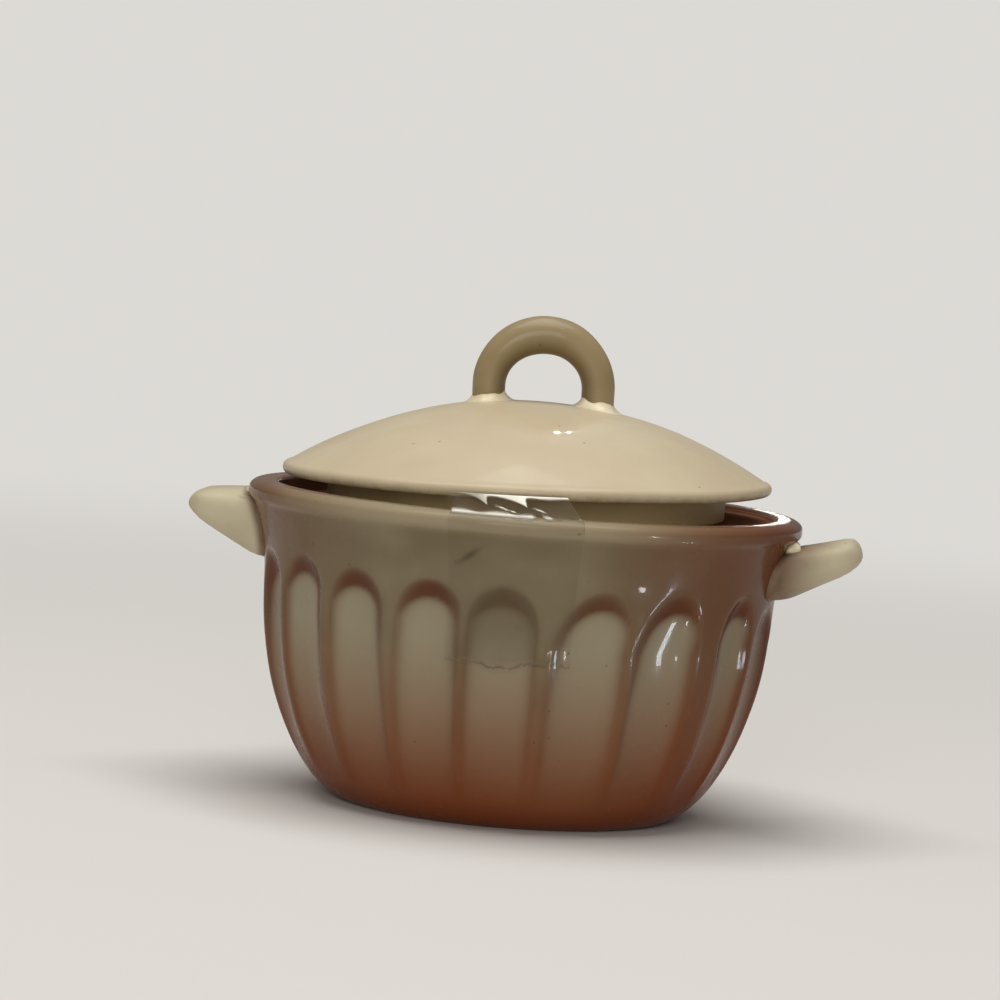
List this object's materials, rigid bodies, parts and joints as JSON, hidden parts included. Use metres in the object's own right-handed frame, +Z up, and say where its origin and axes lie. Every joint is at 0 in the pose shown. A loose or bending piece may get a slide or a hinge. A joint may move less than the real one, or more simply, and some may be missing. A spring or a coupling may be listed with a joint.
{
  "type": "lidded pot",
  "caption": "Small lidded stoneware pot with a fluted wall, side lugs and a looped lid, for warming or holding small massage stones.",
  "frame": {"origin": "centre of the foot, on the surface that the pot stands on", "axes": "+Z up, lugs near X, the right one turned 7 degrees towards -Y, the taped front faces -Y"},
  "size_m": [0.125, 0.1021, 0.0908],
  "materials": {
    "pot_glaze": "gloss",
    "lug_glaze": "gloss",
    "lid_glaze": "satin",
    "loop_glaze": "gloss",
    "bare_clay": "matte",
    "slip": "gloss",
    "clear_tape": "gloss"
  },
  "bodies": {
    "pot": {"pot_body": "pot_glaze", "left_lug": "lug_glaze", "right_lug": "lug_glaze", "left_lug_slip": "slip", "right_lug_slip": "slip", "lid_tape": "clear_tape"},
    "lid": {"lid_shell": "lid_glaze", "lid_flange": "bare_clay", "lid_loop": "loop_glaze", "left_loop_slip": "slip", "right_loop_slip": "slip"}
  },
  "joints": [
    {"name": "lid_lift", "type": "slide", "parent": "pot", "child": "lid", "axis": [0, 0, 1], "range_m": [0, 0.06]}
  ]
}
